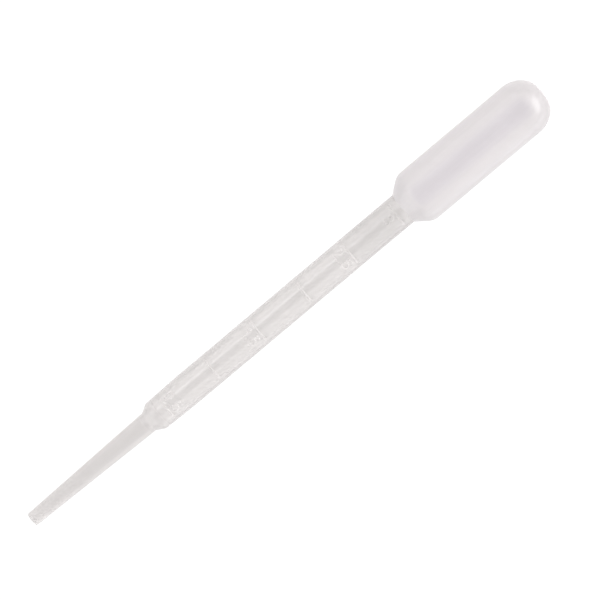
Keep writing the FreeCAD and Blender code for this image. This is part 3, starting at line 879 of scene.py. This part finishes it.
def make_world():
    """A white backdrop to the eye, a soft room to the plastic, and a dark camera side to what it mirrors."""
    world = bpy.data.worlds.new("studio")
    world.use_nodes = True
    bpy.context.scene.world = world
    tree = world.node_tree
    tree.nodes.clear()
    place = add_node(tree, "ShaderNodeTexCoord")
    split = add_node(tree, "ShaderNodeSeparateXYZ")
    tree.links.new(place.outputs["Generated"], split.inputs[0])
    path = add_node(tree, "ShaderNodeLightPath")

    def background(strength, colour):
        """Light of a colour from every side; its strength is a socket or a number."""
        made = add_node(tree, "ShaderNodeBackground", Color=(*colour, 1))
        feed(tree, strength, made.inputs["Strength"])
        return made.outputs[0]

    sideways = soft_ramp(tree, split.outputs["X"], *ROOM_SIDEWAYS)
    from_camera = soft_ramp(tree, split.outputs["Y"], *ROOM_FROM_CAMERA)
    overhead = soft_ramp(tree, split.outputs["Z"], *ROOM_OVERHEAD)
    room = calculate(tree, "MULTIPLY", calculate(tree, "MULTIPLY", sideways, from_camera), overhead)
    card = soft_ramp(tree, split.outputs["Y"], *DARK_CAMERA_SIDE)
    mirrored = background(calculate(tree, "MULTIPLY", card, MIRRORED_ROOM), WARM_WHITE)
    lit = mixed(tree, path.outputs["Is Glossy Ray"], background(room, WARM_WHITE), mirrored)
    seen = mixed(tree, path.outputs["Is Camera Ray"], lit, background(BACKDROP, (1, 1, 1)))
    show_surface(tree, seen, "ShaderNodeOutputWorld")


def make_floor():
    """A plain pale floor under the tip, as bright as the backdrop."""
    material, tree = new_material("floor_white")
    material.cycles.emission_sampling = "NONE"
    seen = add_node(tree, "ShaderNodeEmission", Strength=BACKDROP).outputs[0]
    felt = add_node(tree, "ShaderNodeEmission", Strength=FLOOR_LIGHT).outputs[0]
    path = add_node(tree, "ShaderNodeLightPath")
    show_surface(tree, mixed(tree, path.outputs["Is Camera Ray"], felt, seen))
    corners = [(x * FLOOR_HALF_WIDTH, y * FLOOR_HALF_WIDTH, FLOOR_LEVEL)
               for x, y in ((-1, -1), (1, -1), (1, 1), (-1, 1))]
    mesh = bpy.data.meshes.new("floor")
    mesh.from_pydata(corners, [], [(0, 1, 2, 3)])
    mesh.materials.append(material)
    floor = bpy.data.objects.new("floor", mesh)
    bpy.context.scene.collection.objects.link(floor)
    floor.visible_glossy = False
    floor.visible_shadow = False


CENTRE = Vector((0, 0, (TIP_LOW.z + TOP) / 2))


def softbox(name, direction, distance, width, length, radiance, long_axis, lift=0.0):
    """A soft rectangular light that faces the pipette, long along long_axis, and shows only in its sheen."""
    lamp = bpy.data.lights.new(name, "AREA")
    lamp.shape = "RECTANGLE"
    lamp.size, lamp.size_y = width, length
    lamp.energy = radiance * math.pi * width * length
    light = bpy.data.objects.new(name, lamp)
    back = Vector(direction).normalized()
    side = Vector(long_axis).cross(back).normalized()
    up = back.cross(side)
    light.matrix_world = Matrix((side, up, back)).transposed().to_4x4()
    light.location = CENTRE + back * distance + Vector((0, 0, lift))
    light.visible_camera = False
    light.visible_diffuse = False
    light.visible_transmission = False
    bpy.context.scene.collection.objects.link(light)


def at_angle(degrees):
    """The level direction that many degrees round from the camera side, towards +X."""
    return (math.sin(math.radians(degrees)), -math.cos(math.radians(degrees)), 0)


def make_lights():
    """Strips for the stem's streak, the right side and the far side, and a box for the glint on the crown."""
    upright, crosswise = (0, 0, 1), (1, 0, 0)
    softbox("strip_left", at_angle(-34), distance=0.7, width=0.15, length=0.6, radiance=2.6,
            long_axis=upright, lift=-0.335)
    softbox("sheen_right", at_angle(98), distance=0.7, width=0.4, length=1.2, radiance=1.9, long_axis=upright)
    softbox("strip_back", at_angle(180), distance=0.7, width=0.2, length=1.2, radiance=4.0, long_axis=upright)
    softbox("top_box", (0.3, -0.28, 0.9), distance=0.6, width=0.3, length=0.48, radiance=5.5,
            long_axis=crosswise)


def make_camera():
    """A long lens, almost square to the pipette and a little from the bulb's end, rolled to set it aslant."""
    focal_length, sensor = 250.0, 36.0
    view_width = 138.6 * MM
    elevation, aslant = math.radians(6), math.radians(40.0)
    shift_right, shift_up = 3.3 * MM, 1.63 * MM
    distance = view_width * focal_length / sensor
    back = Vector((0, -math.cos(elevation), math.sin(elevation)))
    across = Vector((0, 0, 1)).cross(back).normalized()
    along = back.cross(across)
    right = along * math.cos(aslant) + across * math.sin(aslant)
    up = along * math.sin(aslant) - across * math.cos(aslant)
    lens = bpy.data.cameras.new("camera")
    lens.lens, lens.sensor_width = focal_length, sensor
    lens.clip_start, lens.clip_end = 0.05, 20.0
    camera = bpy.data.objects.new("camera", lens)
    camera.matrix_world = Matrix((right, up, back)).transposed().to_4x4()
    camera.location = CENTRE + right * shift_right + up * shift_up + back * distance
    bpy.context.scene.collection.objects.link(camera)
    bpy.context.scene.camera = camera


make_world()
make_floor()
make_lights()
make_camera()

scene = bpy.context.scene
scene.view_settings.view_transform = "Standard"
scene.cycles.transparent_max_bounces = 24
scene.cycles.max_bounces = 12
